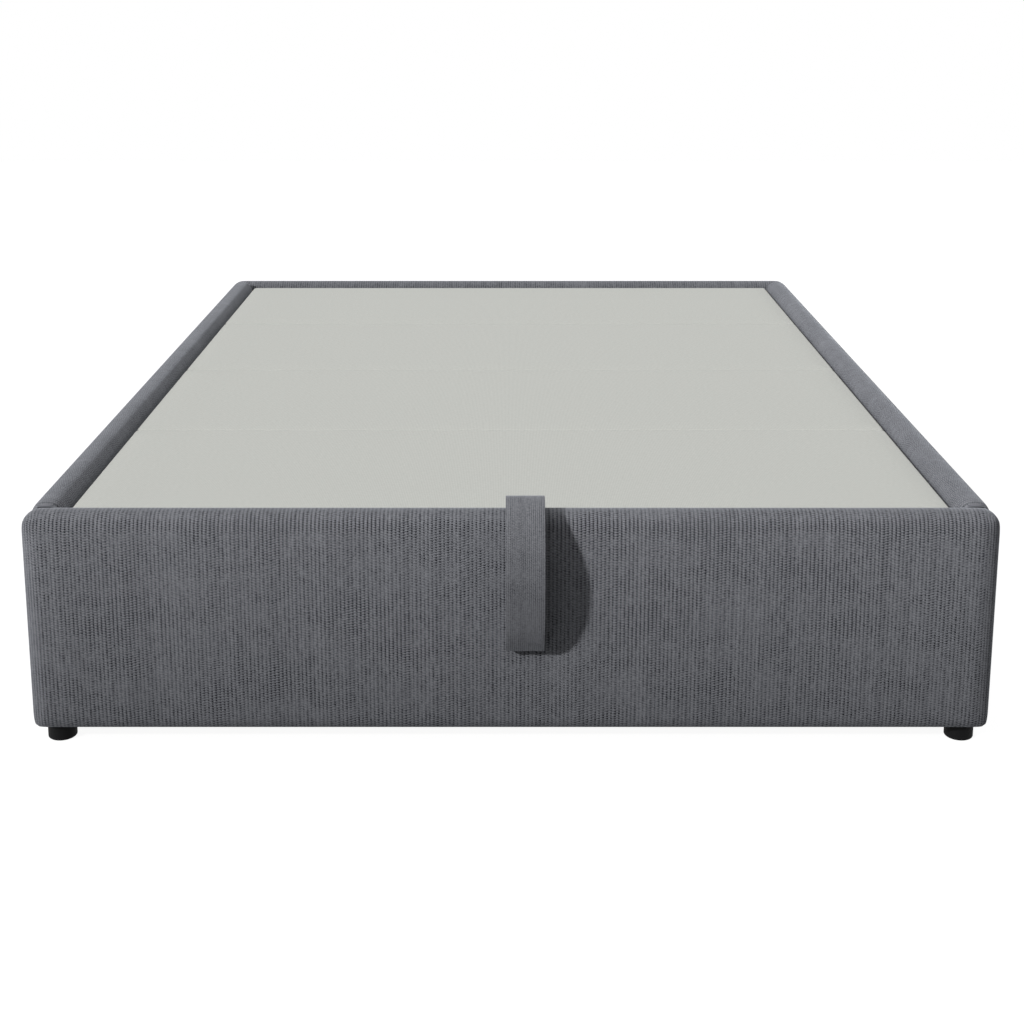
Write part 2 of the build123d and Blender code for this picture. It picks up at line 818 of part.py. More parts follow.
with BuildPart() as deck_padding:
    for middle_y in panel_middles:
        add(panel_form(middle_y, cover_thickness))
    block(about(0, beyond), about(0, beyond), board_level, mode=Mode.SUBTRACT)
save(deck_padding, "deck_padding")


# The strap's middle line, from its upper tail round the loop to its lower tail
turn_y = outer_layer_y + strap_turn_radius
turn_z = outer_layer_z + strap_turn_radius
tail_y = turn_y + strap_tail
shoulder_z = rail_top - rail_top_radius
wrap_radius = rail_top_radius + strap_clearance + strap_thickness / 2
inner_shoulder_y = -inner_half_length - rail_top_radius
outer_shoulder_y = rail_top_radius - half_length
face_y = outer_shoulder_y - wrap_radius
strap_over_z = rail_top + wrap_radius - rail_top_radius
fold_y = face_y - strap_fold_radius
fold_z = rail_top - strap_drop + strap_fold_radius
fold_start = math.radians(-strap_fold_sweep)
fold_heading = (-math.sin(fold_start), math.cos(fold_start))
fold_point = (
    fold_y + strap_fold_radius * math.cos(fold_start),
    fold_z + strap_fold_radius * math.sin(fold_start),
)
fold_end = math.radians(strap_fold_return)
leg_heading = (-math.sin(fold_end), math.cos(fold_end))
leg_start = (
    fold_y + strap_fold_radius * math.cos(fold_end),
    fold_z + strap_fold_radius * math.sin(fold_end),
)
leg_middle = (-half_length - strap_leg_reach, rail_top - strap_leg_share * strap_drop)
strap_free_z = shoulder_z + strap_free_rise
strap_crest = (rail_thickness / 2 - half_length, rail_top + strap_rise - strap_thickness / 2)
strap_bow = [
    (-half_length - out * strap_reach, rail_top - down * strap_drop)
    for out, down in strap_bow_shares
]

with BuildPart() as lift_strap:
    with BuildSketch(Plane.YZ.offset(strap_offset - strap_width / 2)):
        with BuildLine():
            Line((tail_y, outer_layer_z), (turn_y, outer_layer_z))
            CenterArc((turn_y, turn_z), strap_turn_radius, 180, 90)
            Line((outer_layer_y, turn_z), (outer_layer_y, strap_free_z))
            Spline(
                (outer_layer_y, strap_free_z),
                strap_crest,
                *strap_bow,
                fold_point,
                tangents=((0, 1), fold_heading),
                tangent_scalars=(1, 1),
            )
            CenterArc(
                (fold_y, fold_z),
                strap_fold_radius,
                -strap_fold_sweep,
                strap_fold_sweep + strap_fold_return,
            )
            Spline(
                leg_start,
                leg_middle,
                (face_y, shoulder_z),
                tangents=(leg_heading, (0, 1)),
                tangent_scalars=(1, 1),
            )
            CenterArc((outer_shoulder_y, shoulder_z), wrap_radius, 90, 90)
            Line((outer_shoulder_y, strap_over_z), (inner_shoulder_y, strap_over_z))
            CenterArc((inner_shoulder_y, shoulder_z), wrap_radius, 0, 90)
            Line((inner_layer_y, shoulder_z), (inner_layer_y, turn_z))
            CenterArc((turn_y, turn_z), strap_turn_radius + strap_pitch, 180, 90)
            Line((turn_y, inner_layer_z), (tail_y, inner_layer_z))
        trace(line_width=strap_thickness)
    extrude(amount=strap_width)
save(lift_strap, "lift_strap")

with BuildPart() as strap_clamp:
    block(
        about(strap_offset, clamp_half_width),
        about(cross_tube_ys[0], tube_size / 2),
        (clamp_bottom, clamp_top),
    )
    screw_holes(clamp_screws, clamp_screw_length)
    screw_recesses(clamp_screws)
save(strap_clamp, "strap_clamp")

# Every screw and nut that moves with the platform
with BuildPart() as platform_fasteners:
    add_screws(deck_screws, deck_screw_length)
    add_screws(clamp_screws, clamp_screw_length)
    for side in (-1, 1):
        nut_point = (side * (eye_outer + seat_clearance), strut_upper_y, strut_upper_z)
        strut_nut(facing(nut_point, (side, 0, 0)))
save(platform_fasteners, "platform_fasteners")
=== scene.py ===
# %% [markdown]
# # An upholstered storage bed, dressed in Blender
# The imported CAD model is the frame: its boards, tubes and struts are already in place, in metres.
# What a buyer sees is soft, so this script makes the padded rails, the deck panels and the lift
# strap again as fabric pieces, and gives each hard CAD part a finish of its own.

# %% Load the frame
import math
import bmesh
import bpy
import numpy as np
from mathutils import Matrix, Vector


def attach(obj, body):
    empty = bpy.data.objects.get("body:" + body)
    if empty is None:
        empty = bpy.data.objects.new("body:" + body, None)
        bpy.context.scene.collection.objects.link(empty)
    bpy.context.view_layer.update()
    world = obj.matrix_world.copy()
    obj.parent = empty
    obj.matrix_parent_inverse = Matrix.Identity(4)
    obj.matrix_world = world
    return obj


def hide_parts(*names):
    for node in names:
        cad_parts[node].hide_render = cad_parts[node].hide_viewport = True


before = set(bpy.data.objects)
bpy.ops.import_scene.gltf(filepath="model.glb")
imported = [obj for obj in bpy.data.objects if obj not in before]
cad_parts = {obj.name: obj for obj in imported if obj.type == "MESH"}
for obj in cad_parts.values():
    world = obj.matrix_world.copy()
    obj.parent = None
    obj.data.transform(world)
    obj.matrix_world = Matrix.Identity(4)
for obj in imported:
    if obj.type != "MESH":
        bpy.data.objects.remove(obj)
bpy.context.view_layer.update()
bpy.ops.object.select_all(action="DESELECT")

# %% [markdown]
# ## Camera
# The photograph was taken from the foot end at about chest height. The foot rail's upright edges
# stand straight in it, so its camera was level and its picture was shifted far down. So large a
# shift would push the open bed out of the other views. This camera tilts down a little and shifts
# less, and the price is that those edges lean in towards the floor.

# %% Camera
camera_tilt = 11.65
bpy.ops.object.camera_add(location=(-0.005, -3.587, 1.300),
                          rotation=(math.radians(90 - camera_tilt), 0, 0))
camera = bpy.context.object
camera.name = "camera"
camera.data.lens = 54.901
camera.data.sensor_width = 36
camera.data.shift_x = 0.0041
camera.data.shift_y = -0.20
camera.data.clip_end = 60
bpy.context.scene.camera = camera
bpy.context.scene.view_settings.view_transform = "Standard"
print("lens", camera.data.lens, "shift", camera.data.shift_y)

# %% [markdown]
# ## A small kit for shader nodes
# A procedural material is a chain of small sums and noises. Each helper adds one node, types
# numbers and colours into it or links sockets to it, and gives back its output, so that a chain
# reads like a sum. An effect that several finishes share is a node group with named inputs.

# %% Node kit
class NodeKit:
    """Adds nodes to one tree. A value is a number or colour to type in, or a socket to link."""

    def __init__(self, tree):
        self.tree, self.nodes, self.links = tree, tree.nodes, tree.links

    def fill(self, node, values):
        """Types or links each value into the node's input of that name or number."""
        for title, value in values.items():
            if isinstance(value, bpy.types.NodeSocket):
                self.links.new(value, node.inputs[title])
            else:
                node.inputs[title].default_value = value

    def add(self, kind, values, **settings):
        """A new node with its settings and its inputs' values."""
        node = self.nodes.new("ShaderNode" + kind)
        for name, setting in settings.items():
            setattr(node, name, setting)
        self.fill(node, values)
        return node

    def maths(self, operation, *values, clamp=False):
        """The result of a Math node."""
        numbered = dict(enumerate(values))
        return self.add("Math", numbered, operation=operation, use_clamp=clamp).outputs[0]

    def levels(self, value, gain, offset, clamp=False):
        """A value times a gain plus an offset: a mask's contrast and level."""
        return self.maths("MULTIPLY_ADD", value, gain, offset, clamp=clamp)

    def vectors(self, operation, *values):
        """The result of a Vector Math node."""
        return self.add("VectorMath", dict(enumerate(values)), operation=operation).outputs[0]

    def noise(self, vector, scale, detail=2, roughness=0.5, stretch=None):
        """A Noise texture's grey value; stretch scales the pattern along each axis first."""
        place = self.vectors("MULTIPLY", vector, stretch) if stretch else vector
        values = {"Vector": place, "Scale": scale, "Detail": detail, "Roughness": roughness}
        return self.add("TexNoise", values).outputs["Fac"]

    def chance(self, x, y=0.0):
        """A random value for each cell of two whole numbers."""
        cell = self.add("CombineXYZ", {"X": x, "Y": y}).outputs[0]
        return self.add("TexWhiteNoise", {"Vector": cell}, noise_dimensions="2D").outputs["Value"]

    def between(self, share, low, high):
        """A grey value from 0 to 1 spread over a new range."""
        values = {"Value": share, "To Min": low, "To Max": high}
        return self.add("MapRange", values).outputs["Result"]

    def mix(self, share, first, second, blend="MIX"):
        """A colour between two."""
        values = {"Factor": share, 6: first, 7: second}
        return self.add("Mix", values, data_type="RGBA", blend_type=blend).outputs[2]

    def relief(self, height, strength, distance):
        """The normal of a Bump node."""
        values = {"Height": height, "Strength": strength, "Distance": distance}
        return self.add("Bump", values).outputs["Normal"]


def new_group(name, inputs, outputs):
    """A node group's kit, the sockets of its inputs and its output node. An input has its usual
    number, or None if it is a vector."""
    tree = bpy.data.node_groups.new(name, "ShaderNodeTree")
    for title, usual in inputs.items():
        kind = "NodeSocketVector" if usual is None else "NodeSocketFloat"
        socket = tree.interface.new_socket(title, in_out="INPUT", socket_type=kind)
        if usual is not None:
            socket.default_value = usual
    for title in outputs:
        tree.interface.new_socket(title, in_out="OUTPUT", socket_type="NodeSocketFloat")
    kit = NodeKit(tree)
    return kit, kit.nodes.new("NodeGroupInput").outputs, kit.nodes.new("NodeGroupOutput")


def new_material(name):
    """A node material, its kit and its Principled shader."""
    material = bpy.data.materials.new(name)
    material.use_nodes = True
    kit = NodeKit(material.node_tree)
    return material, kit, kit.nodes["Principled BSDF"]


def opaque(*parts):
    """A colour of one grey value, or of red, green and blue, with full alpha."""
    return (*(parts * 3 if len(parts) == 1 else parts), 1)


print("node kit ready")

# %% [markdown]
# ## Floor, world and lamp
# A catalogue picture is lit by one fairly small lamp from the upper left and by white surroundings.
# Here the world glows from above, the left and behind, so that the deck, which faces up, comes out
# pale while the front stays dark. Camera rays, and rays that gloss or glass sends on, see a white
# world and a floor of white paper that still takes shadows. Other rays meet a dark floor, which
# throws little light back up at the rails.

# %% Floor
def seen_directly(kit):
    """1 for a ray from the camera, or one that a mirror or clear surface sends on."""
    path = kit.add("LightPath", {}).outputs
    either = kit.maths("MAXIMUM", path["Is Camera Ray"], path["Is Glossy Ray"])
    return kit.maths("MAXIMUM", either, path["Is Transmission Ray"])


floor_size = 16.0
bpy.ops.mesh.primitive_plane_add(size=floor_size, location=(0, 0, 0))
studio_floor = bpy.context.object
studio_floor.name = "studio_floor"
floor_white, kit, dark_floor = new_material("studio_white")
kit.fill(dark_floor, {"Base Color": opaque(0.12), "Roughness": 0.9, "Specular IOR Level": 0.1})
paper = kit.add("Emission", {"Color": opaque(1), "Strength": 0.93})
shadow_catcher = kit.add("BsdfDiffuse", {"Color": opaque(0.16)})
white_floor = kit.add("AddShader", {0: shadow_catcher.outputs[0], 1: paper.outputs[0]})
seen_floor = kit.add("MixShader", {"Fac": seen_directly(kit), 1: dark_floor.outputs[0],
                                   2: white_floor.outputs[0]})
kit.fill(kit.nodes["Material Output"], {"Surface": seen_floor.outputs[0]})
studio_floor.data.materials.append(floor_white)
print("floor", floor_size, "m wide")

# %% World
world = bpy.data.worlds.new("studio_world")
bpy.context.scene.world = world
world.use_nodes = True
kit = NodeKit(world.node_tree)
direction = kit.add("TexCoord", {}).outputs["Generated"]
aim = kit.add("SeparateXYZ", {0: direction}).outputs
sky = 0.02
glow_sharpness = 3
for axis, sign, strength in (("Z", 1, 1.42), ("X", -1, 1.50), ("X", 1, 0.15), ("Y", 1, 0.85)):
    facing = kit.maths("MAXIMUM", kit.maths("MULTIPLY", aim[axis], sign), 0)
    sky = kit.levels(kit.maths("POWER", facing, glow_sharpness), strength, sky)
ambient = kit.nodes["Background"]
kit.fill(ambient, {"Color": opaque(1), "Strength": sky})
white = kit.add("Background", {"Color": opaque(1), "Strength": 1})
seen_world = kit.add("MixShader", {"Fac": seen_directly(kit), 1: ambient.outputs[0],
                                   2: white.outputs[0]})
kit.fill(kit.nodes["World Output"], {"Surface": seen_world.outputs[0]})
print("world glows from above, the left and behind")

# %% Key lamp
light_travel = Vector((1.17, 1.0, -0.78)).normalized()
bpy.ops.object.light_add(type="SUN", location=(-4, -4, 4))
key_lamp = bpy.context.object
key_lamp.name = "key_lamp"
key_lamp.rotation_euler = light_travel.to_track_quat("-Z", "Y").to_euler()
key_lamp.data.energy = 2.5
key_lamp.data.angle = math.radians(4)
print("key lamp points along", [round(value, 2) for value in light_travel])

# %% [markdown]
# ## The ribbed weave
# Rails and strap share one weave: vertical ribs, about 7 mm apart on the rails and half that on the
# strap, and between them short dark hollows where the weft dives under. Neighbouring columns are
# staggered by a little less than half a step. On the real cloth no two hollows are alike, so noise
# fades some, pulls the threads a little aside and gives each column a tone of its own. The pattern
# reads the cloth's own UV map, in metres, because woven cloth follows the surface round a corner.

# %% Threads and columns of the ribbed weave
off_the_cloth = -9.0
kit, given, ribbed_masks = new_group(
    "ribbed weave",
    {"Cloth": None, "Rib Pitch": 0.0068, "Dash Pitch": 0.0039, "Bend": off_the_cloth},
    ("Hollow", "Rib", "Height", "Tone"))
ribbed_weave, cloth = kit.tree, given["Cloth"]
thread_pull = 0.0015
column_stagger = -0.42
drift = kit.add("TexNoise", {"Vector": cloth, "Scale": 75, "Detail": 2}).outputs["Color"]
drift = kit.vectors("SUBTRACT", drift, (0.5, 0.5, 0.5))
drift = kit.vectors("MULTIPLY", drift, (thread_pull, thread_pull, thread_pull))
pulled = kit.add("SeparateXYZ", {0: kit.vectors("ADD", cloth, drift)}).outputs
column = kit.maths("DIVIDE", pulled["X"], given["Rib Pitch"])
column_number = kit.maths("FLOOR", column)
across = kit.maths("SUBTRACT", kit.maths("FRACT", column), 0.5)
column_chance = kit.chance(column_number)
slant = kit.noise(cloth, 13, stretch=(1.0, 0.5, 1))
climb = kit.maths("DIVIDE", pulled["Y"], given["Dash Pitch"])
climb = kit.levels(slant, 3.0, climb)
row = kit.maths("ADD", climb, kit.maths("MULTIPLY", column_number, column_stagger))
row = kit.levels(column_chance, 0.34, row)
along = kit.maths("SUBTRACT", kit.maths("FRACT", row), 0.5)
print("columns and rows take", len(kit.nodes), "nodes")

# %% [markdown]
# A hollow is an ellipse in its cell, frayed by a fine noise. How dark it gets is drawn for each
# hollow and each stretch of a column, and wide slow zones let whole patches go quiet. Where the
# cloth bends over the rail's top it opens, so a row of stronger hollows shows there.

# %% Hollows of the ribbed weave
hollow_half_width = 0.25
hollow_half_height = 0.30
across_square = kit.maths("POWER", kit.maths("DIVIDE", across, hollow_half_width), 2)
along_square = kit.maths("POWER", kit.maths("DIVIDE", along, hollow_half_height), 2)
distance = kit.maths("ADD", across_square, along_square)
frayed = kit.noise(cloth, 640)
distance = kit.levels(frayed, 0.5, kit.maths("SUBTRACT", distance, 0.25))
hollow = kit.maths("SUBTRACT", 1.4, distance, clamp=True)
patches = kit.noise(cloth, 34, 3, 0.6, stretch=(0.6, 1.4, 1))
patch_share = kit.levels(patches, 1.6, -0.15, clamp=True)
cell_chance = kit.chance(column_number, kit.maths("FLOOR", row))
cell_share = kit.levels(cell_chance, 0.95, 0.25, clamp=True)
kept = kit.levels(kit.maths("MULTIPLY", patch_share, cell_share), 0.75, 0.16)
streak_place = kit.add("CombineXYZ", {"X": kit.maths("MULTIPLY", column_number, 1.7),
                                      "Y": kit.maths("MULTIPLY", pulled["Y"], 38.0)})
streaks = kit.noise(streak_place.outputs[0], 1.0)
kept = kit.levels(streaks, 1.1, kit.maths("SUBTRACT", kept, 0.45), clamp=True)
zones = kit.noise(cloth, 14, 3, 0.6, stretch=(0.45, 1.0, 1))
kept = kit.maths("MULTIPLY", kept, kit.levels(zones, 1.8, -0.22, clamp=True))
kept = kit.levels(kept, 1.25, 0.18)
from_bend = kit.maths("ABSOLUTE", kit.maths("SUBTRACT", pulled["Y"], given["Bend"]))
bend = kit.levels(from_bend, -90.0, 1.5, clamp=True)
kept = kit.levels(bend, 0.55, kept, clamp=True)
hollow = kit.maths("MULTIPLY", hollow, kept)
print("with the hollows", len(kit.nodes), "nodes")

# %% Ribs, tone and height of the ribbed weave
rib = kit.levels(kit.maths("ABSOLUTE", across), 7.0, -2.6, clamp=True)
ragged = kit.noise(cloth, 330, stretch=(1.0, 0.45, 1))
rib = kit.maths("MULTIPLY", rib, kit.levels(ragged, 3.2, -0.9, clamp=True))
faded = kit.noise(cloth, 24, 3, stretch=(0.9, 0.6, 1))
rib = kit.maths("MULTIPLY", rib, kit.levels(faded, 3.4, -1.0, clamp=True))
rib = kit.maths("MULTIPLY", rib, kit.levels(bend, -0.55, 1.0))
weft = kit.levels(column, column_stagger, climb)
weft = kit.maths("COSINE", kit.maths("MULTIPLY", weft, math.tau))
rib = kit.maths("MULTIPLY", rib, kit.levels(weft, 0.48, 0.50))
slubs = kit.noise(cloth, 330, stretch=(0.35, 1.6, 1))
fibres = kit.noise(cloth, 420)
tone = kit.levels(fibres, 1.3, kit.levels(slubs, 1.5, -0.95))
tone = kit.levels(streaks, -0.5, kit.maths("ADD", tone, 0.25))
tone = kit.levels(weft, kit.levels(zones, 1.5, -0.48, clamp=True), tone)
tone = kit.levels(column_chance, 0.25, tone, clamp=True)
height = kit.levels(rib, 0.6, kit.maths("MULTIPLY", slubs, 0.25))
height = kit.maths("SUBTRACT", height, hollow)
kit.fill(ribbed_masks, {"Hollow": hollow, "Rib": rib, "Height": height, "Tone": tone})
print("ribbed weave has", len(kit.nodes), "nodes")

# %% [markdown]
# ## The blue-grey cloths
# The group gives masks, and the material turns them into colour, roughness and bump. The shader's
# sheen stands for the fine fibres that stand off the yarn and catch light at a low angle, and it is
# one number all over, so it is typed into the shader itself. A ramp of painted shade darkens the
# rails' cloth towards the floor and over the rounded top, and the strap's towards its top. This is
# not the cloth's own colour but shade painted in for how the light falls, so the ramp is an
# approximation.

# %% Rail cloth and strap cloth
def woven_material(name, group, values):
    """A material whose weave reads the UV map 'cloth': itself, its kit, its shader, the cloth's
    places and the group's masks."""
    material, kit, shader = new_material(name)
    cloth = kit.add("UVMap", {}, uv_map="cloth").outputs[0]
    masks = kit.add("Group", {"Cloth": cloth, **values}, node_tree=group).outputs
    return material, kit, shader, cloth, masks


def ribbed_cloth(name, pitches, dark, mid, light, bump, painted_shade, bend=off_the_cloth):
    """A cloth of the ribbed weave at a given scale, with a ramp of painted shade that sets the
    colour's share by height.
    """
    material, kit, shader, cloth, masks = woven_material(
        name, ribbed_weave, {"Rib Pitch": pitches[0], "Dash Pitch": pitches[1], "Bend": bend})
    base = kit.mix(masks["Tone"], opaque(*mid[0]), opaque(*mid[1]))
    base = kit.mix(masks["Rib"], base, opaque(*light))
    base = kit.mix(masks["Hollow"], base, opaque(*dark))
    # The colour ramp below paints shade into the cloth's colour: darker where the light falls less.
    ramp_per_metre = 2.0
    climb = kit.add("SeparateXYZ", {0: cloth}).outputs["Y"]
    ramp = kit.add("ValToRGB", {"Fac": kit.maths("MULTIPLY", climb, ramp_per_metre)})
    steps = ramp.color_ramp.elements
    while len(steps) < len(painted_shade):
        steps.new(0.5)
    for step, (place, share) in zip(steps, painted_shade):
        step.position = place * ramp_per_metre
        step.color = opaque(share)
    kit.fill(shader, {
        "Base Color": kit.mix(1.0, base, ramp.outputs["Color"], "MULTIPLY"),
        "Roughness": kit.between(masks["Hollow"], 0.78, 0.95),
        "Normal": kit.relief(masks["Height"], bump, 0.0008),
        "Specular IOR Level": 0.08, "Sheen Weight": 0.4, "Sheen Roughness": 0.35,
        "Sheen Tint": opaque(0.80, 0.84, 0.92)})
    return material


# Both ramps below are painted shade: the rail's darkens near the floor and over the rounded top,
# the strap's near its top.
rail_cloth = ribbed_cloth(
    "blue_grey_ribbed_cloth", (0.0068, 0.0046), dark=(0.009, 0.0095, 0.013),
    mid=((0.098, 0.101, 0.114), (0.262, 0.268, 0.291)), light=(0.290, 0.296, 0.319), bump=0.6,
    painted_shade=((0.0, 0.50), (0.045, 0.72), (0.385, 1.0), (0.412, 0.90), (0.435, 0.76)), bend=0.407)
strap_cloth = ribbed_cloth(
    "blue_grey_strap_cloth", (0.0034, 0.0027), dark=(0.030, 0.031, 0.037),
    mid=((0.111, 0.114, 0.126), (0.228, 0.233, 0.252)), light=(0.249, 0.254, 0.274), bump=0.35,
    painted_shade=((0.0, 0.78), (0.13, 0.78), (0.19, 0.88), (0.34, 0.90), (0.41, 1.0)))
print(rail_cloth.name, strap_cloth.name)

# %% [markdown]
# ## The deck's pale cloth
# The deck has a thin, tight plain weave, light grey with a little warmth. From the camera its grid
# of about 3 mm only just shows, so it stays faint in colour and shallow in relief. A slow noise
# adds the shade that a large stretched panel always has.

# %% Plain weave group
kit, given, plain_masks = new_group("plain weave", {"Cloth": None, "Pitch": 0.003},
                                    ("Thread", "Height", "Shade"))
plain_weave, cloth = kit.tree, given["Cloth"]
flat_cloth = kit.add("SeparateXYZ", {0: cloth}).outputs
waves = []
for axis in ("X", "Y"):
    turns = kit.maths("DIVIDE", flat_cloth[axis], given["Pitch"])
    wave = kit.maths("SINE", kit.maths("MULTIPLY", turns, math.tau))
    waves.append(kit.levels(wave, 0.5, 0.5))
crossing = kit.maths("MULTIPLY", *waves)
fibres = kit.noise(cloth, 420)
slubs = kit.noise(cloth, 190, stretch=(0.7, 1.0, 1))
thread = kit.levels(crossing, 0.55, kit.maths("MULTIPLY", fibres, 0.3))
thread = kit.levels(slubs, 0.35, kit.maths("SUBTRACT", thread, 0.05), clamp=True)
kit.fill(plain_masks, {"Thread": thread, "Height": crossing, "Shade": kit.noise(cloth, 5, 3)})
print("plain weave has", len(kit.nodes), "nodes")

# %% Deck cloth
deck_cloth, kit, shader, cloth, masks = woven_material("pale_grey_deck_cloth", plain_weave,
                                                       {"Pitch": 0.003})
base = kit.mix(masks["Thread"], opaque(0.345, 0.350, 0.328), opaque(0.590, 0.598, 0.565))
base = kit.mix(kit.between(masks["Shade"], 0.0, 0.10), base, opaque(0.42, 0.425, 0.40))
kit.fill(shader, {"Base Color": base, "Roughness": kit.between(masks["Thread"], 0.92, 0.80),
                  "Normal": kit.relief(masks["Height"], 0.25, 0.0003),
                  "Specular IOR Level": 0.2, "Sheen Weight": 0.05})
print(deck_cloth.name)

# %% [markdown]
# ## The rails' shape
# Each rail is a board wrapped in foam and cloth: square and straight seen from far, soft at every
# edge. Three outlines describe it: its cross-section, its long side and its plan, each with its own
# rounding. A side rail does without the second, because its ends butt against the cross rails. A
# box bevelled along one direction gives one outline, and where the boxes overlap is the rail.
# Boolean modifiers keep that overlap, so every corner blends by itself.

# %% Measures of the rails
outer_half_width = 0.835
outer_half_length = 1.091
inner_half_width = 0.770
inner_half_length = 1.026
rail_bottom = 0.034
rail_top = 0.428
head_rail_top = 0.421
rail_top_radius = 0.030
rail_low_radius = 0.011
outer_corner_radius = 0.034
inner_corner_radius = 0.006
foot_end_radius = 0.036
head_end_radius = 0.028
# The rail starts slim on its outer face, where it swells, and a clearance inside its CAD box.
slim = 0.003
clearance = 0.0005
top_clearance = 0.001
print("rails", round(outer_half_width - inner_half_width, 3), "m thick")


# %% Helpers for meshes
def select_only(piece):
    """Makes one object the selected and the active one."""
    bpy.ops.object.select_all(action="DESELECT")
    bpy.context.view_layer.objects.active = piece
    piece.select_set(True)


def select_edges(piece, test):
    """Edit mode with only the edges selected whose two ends pass the test."""
    select_only(piece)
    bpy.ops.object.mode_set(mode="EDIT")
    bpy.ops.mesh.select_mode(type="EDGE")
    bpy.ops.mesh.select_all(action="DESELECT")
    shape = bmesh.from_edit_mesh(piece.data)
    for edge in shape.edges:
        edge.select_set(test(edge.verts[0].co, edge.verts[1].co))
    bmesh.update_edit_mesh(piece.data)


def leave_edit():
    """Back to object mode."""
    bpy.ops.object.mode_set(mode="OBJECT")


def apply_modifier(piece, kind, **settings):
    """Adds a modifier with its settings to a piece, and applies it."""
    select_only(piece)
    modifier = piece.modifiers.new(kind.lower(), kind)
    for name, setting in settings.items():
        setattr(modifier, name, setting)
    bpy.ops.object.modifier_apply(modifier=modifier.name)


def boolean(piece, cutter, operation):
    """Applies a Boolean modifier and removes the cutter."""
    apply_modifier(piece, "BOOLEAN", operation=operation, object=cutter, solver="EXACT")
    bpy.data.objects.remove(cutter)


def box_piece(name, low, high):
    """A box between two corners, with its place in its mesh."""
    middle = [(a + b) / 2 for a, b in zip(low, high)]
    bpy.ops.mesh.primitive_cube_add(size=1, location=middle)
    piece = bpy.context.object
    piece.name = name
    piece.scale = [b - a for a, b in zip(low, high)]
    bpy.ops.object.transform_apply(location=True, rotation=True, scale=True)
    return piece


print("mesh helpers ready")


# %% Outlines and their overlap
def bevel_along(piece, low, high, axis, radii):
    """Rounds the box's edges that run along an axis. The radii are those of its bottom and top
    edges, or of its front and back edges where the axis is upright."""
    others = [number for number in range(3) if number != axis]
    level = others[1]
    middle = (low[level] + high[level]) / 2

    def on_corner(point):
        return all(min(abs(point[number] - low[number]), abs(point[number] - high[number])) < 1e-5
                   for number in others)

    for radius in sorted(set(radii)):
        select_edges(piece, lambda first, second: (
            abs(first[axis] - second[axis]) >= 0.02 and on_corner(first)
            and radii[first[level] > middle] == radius))
        bpy.ops.mesh.bevel(offset=radius, segments=8, profile=0.5)
        leave_edit()


def rail_shape(name, low, high, outlines):
    """The overlap of boxes that are each bevelled along one axis."""
    pieces = []
    for axis, radii in outlines:
        pieces.append(box_piece(f"{name}_{axis}", low, high))
        bevel_along(pieces[-1], low, high, axis, radii)
    for other in pieces[1:]:
        boolean(pieces[0], other, "INTERSECT")
    pieces[0].name = name
    return pieces[0]


print("rail helpers ready")

# %% [markdown]
# ## Padding by simulation
# Foam pushes its cloth outwards, and the cloth holds it back. Blender's Cloth does the same with a
# pressure inside a closed mesh. The rail is remeshed to an even grid first, because cloth needs
# faces of one size. The rail starts a little slim and swells for twenty frames, and no point may
# move more than 3 mm. Near the floor edge and the joints, where staples hold the cloth to the
# board, and near the top, where it is pulled tight over the edge, it moves less or not at all.

# %% Padding helpers
swell_frames = 20


def places_of(piece):
    """The places of a mesh's points, one row for each."""
    places = np.zeros(len(piece.data.vertices) * 3)
    piece.data.vertices.foreach_get("co", places)
    return places.reshape(-1, 3)


def swell(piece, pressure, **settings):
    """Blows a closed mesh up with Cloth, and gives how far each point has moved."""
    rest = places_of(piece)
    select_only(piece)
    scene = bpy.context.scene
    scene.gravity = (0, 0, 0)
    cloth = piece.modifiers.new("swell", "CLOTH")
    cloth.settings.use_pressure = True
    cloth.settings.uniform_pressure_force = pressure
    cloth.settings.effector_weights.gravity = 0
    cloth.settings.quality = 4
    for name, setting in settings.items():
        setattr(cloth.settings, name, setting)
    cloth.point_cache.frame_start = 1
    cloth.point_cache.frame_end = swell_frames
    for number in range(1, swell_frames + 1):
        scene.frame_set(number)
    bpy.ops.object.modifier_apply(modifier=cloth.name)
    scene.frame_set(1)
    return places_of(piece) - rest


def padded_form(piece, voxel, pressure, cap, hold):
    """Remeshes, swells under pressure within a cap, and smooths; hold(point) is 0 where the
    cloth is fixed and 1 where it is free."""
    apply_modifier(piece, "REMESH", mode="VOXEL", voxel_size=voxel, adaptivity=0)
    apply_modifier(piece, "SMOOTH", factor=0.5, iterations=3)
    rest = places_of(piece)
    shift = swell(piece, pressure, tension_stiffness=25, compression_stiffness=25)
    length = np.linalg.norm(shift, axis=1)
    allowed = np.minimum(length, cap * np.array([hold(point) for point in rest]))
    shift *= (allowed / np.maximum(length, 1e-9))[:, None]
    piece.data.vertices.foreach_set("co", (rest + shift).ravel())
    print(piece.name, "swelled by", round(float(allowed.max()) * 1000, 1), "mm")
    apply_modifier(piece, "SUBSURF", levels=1, render_levels=1)
    piece.data.shade_smooth()


print("padding helpers ready")

# %% [markdown]
# ## Unrolling the cloth
# The weave needs to know where each point of the surface lies on the flat cloth. On a rail that is
# simple: one number counts along the rail, the other climbs the front, follows the rounded top and
# comes down the back, as a tape measure would. On the rail's ends the tape goes on round the
# upright corner.

# %% Tape measures round a rail
quarter_turn = math.pi / 2
least = 1e-6


